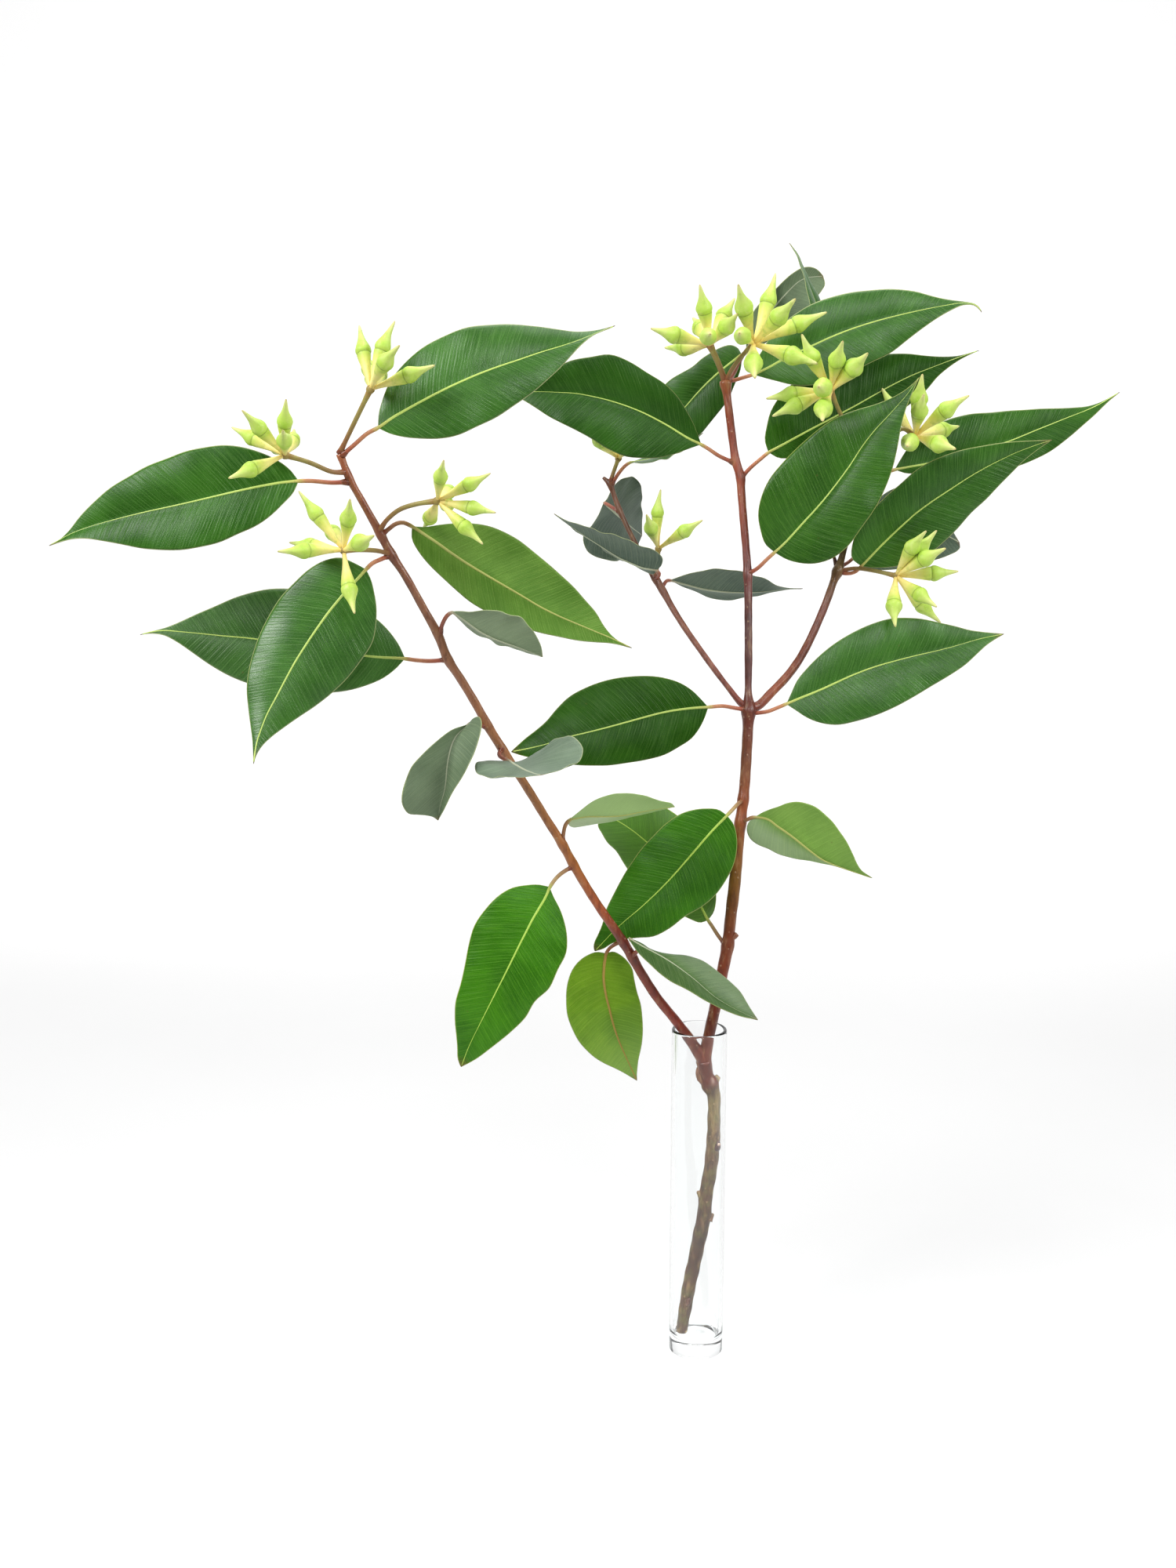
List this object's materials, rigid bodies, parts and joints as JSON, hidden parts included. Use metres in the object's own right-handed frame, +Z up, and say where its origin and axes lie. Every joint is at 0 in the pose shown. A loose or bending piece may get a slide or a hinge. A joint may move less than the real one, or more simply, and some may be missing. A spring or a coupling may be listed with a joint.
{
  "type": "eucalyptus branch in tube vase",
  "caption": "Cut eucalyptus branch with broad leathery leaves and clusters of pointed green buds, standing in a slim clear glass tube vase.",
  "frame": {"origin": "centre of the vase's foot, on the floor", "axes": "+Z up along the vase, +X to the right and +Y away from the viewer as pictured"},
  "size_m": [0.5681, 0.3002, 0.6261],
  "materials": {
    "clear_glass": "gloss",
    "bark": "satin",
    "leaf_dark": "satin",
    "leaf_young": "satin",
    "leaf_pale": "satin",
    "leaf_grey": "matte",
    "leaf_yellow": "satin",
    "bud": "satin"
  },
  "bodies": {
    "root": {"vase": "clear_glass", "stem": "bark", "leaf_far_left": "leaf_dark", "leaf_top_left": "leaf_dark", "leaf_left_drooping": "leaf_dark", "leaf_left_behind": "leaf_dark", "leaf_left_hanging": "leaf_pale", "leaf_left_grey_small": "leaf_grey", "leaf_left_grey_cupped": "leaf_grey", "leaf_stem_crossing": "leaf_grey", "leaf_inner_dark": "leaf_dark", "leaf_low_pale": "leaf_pale", "leaf_low_behind": "leaf_young", "leaf_low_right_front": "leaf_young", "leaf_low_left": "leaf_young", "leaf_low_yellow": "leaf_yellow", "leaf_low_grey_front": "leaf_grey", "leaf_low_right": "leaf_pale", "leaf_right_lower": "leaf_dark", "leaf_right_centre": "leaf_dark", "leaf_right_outer": "leaf_dark", "leaf_right_far": "leaf_dark", "leaf_top_right": "leaf_dark", "leaf_right_upper": "leaf_dark", "leaf_top_rounded": "leaf_grey", "leaf_top_edge_on": "leaf_dark", "leaf_top_back": "leaf_dark", "leaf_upper_left_twisted": "leaf_dark", "leaf_inner_top_edge_on": "leaf_dark", "leaf_inner_back": "leaf_grey", "leaf_inner_left": "leaf_grey", "leaf_inner_right": "leaf_grey", "leaf_right_behind": "leaf_grey", "buds_far_left": "bud", "buds_top_left": "bud", "buds_left_centre": "bud", "buds_left_low": "bud", "buds_top_centre": "bud", "buds_top_right": "bud", "buds_right_upper": "bud", "buds_right_far": "bud", "buds_right_low": "bud", "buds_inner": "bud", "buds_inner_top": "bud"}
  },
  "joints": []
}
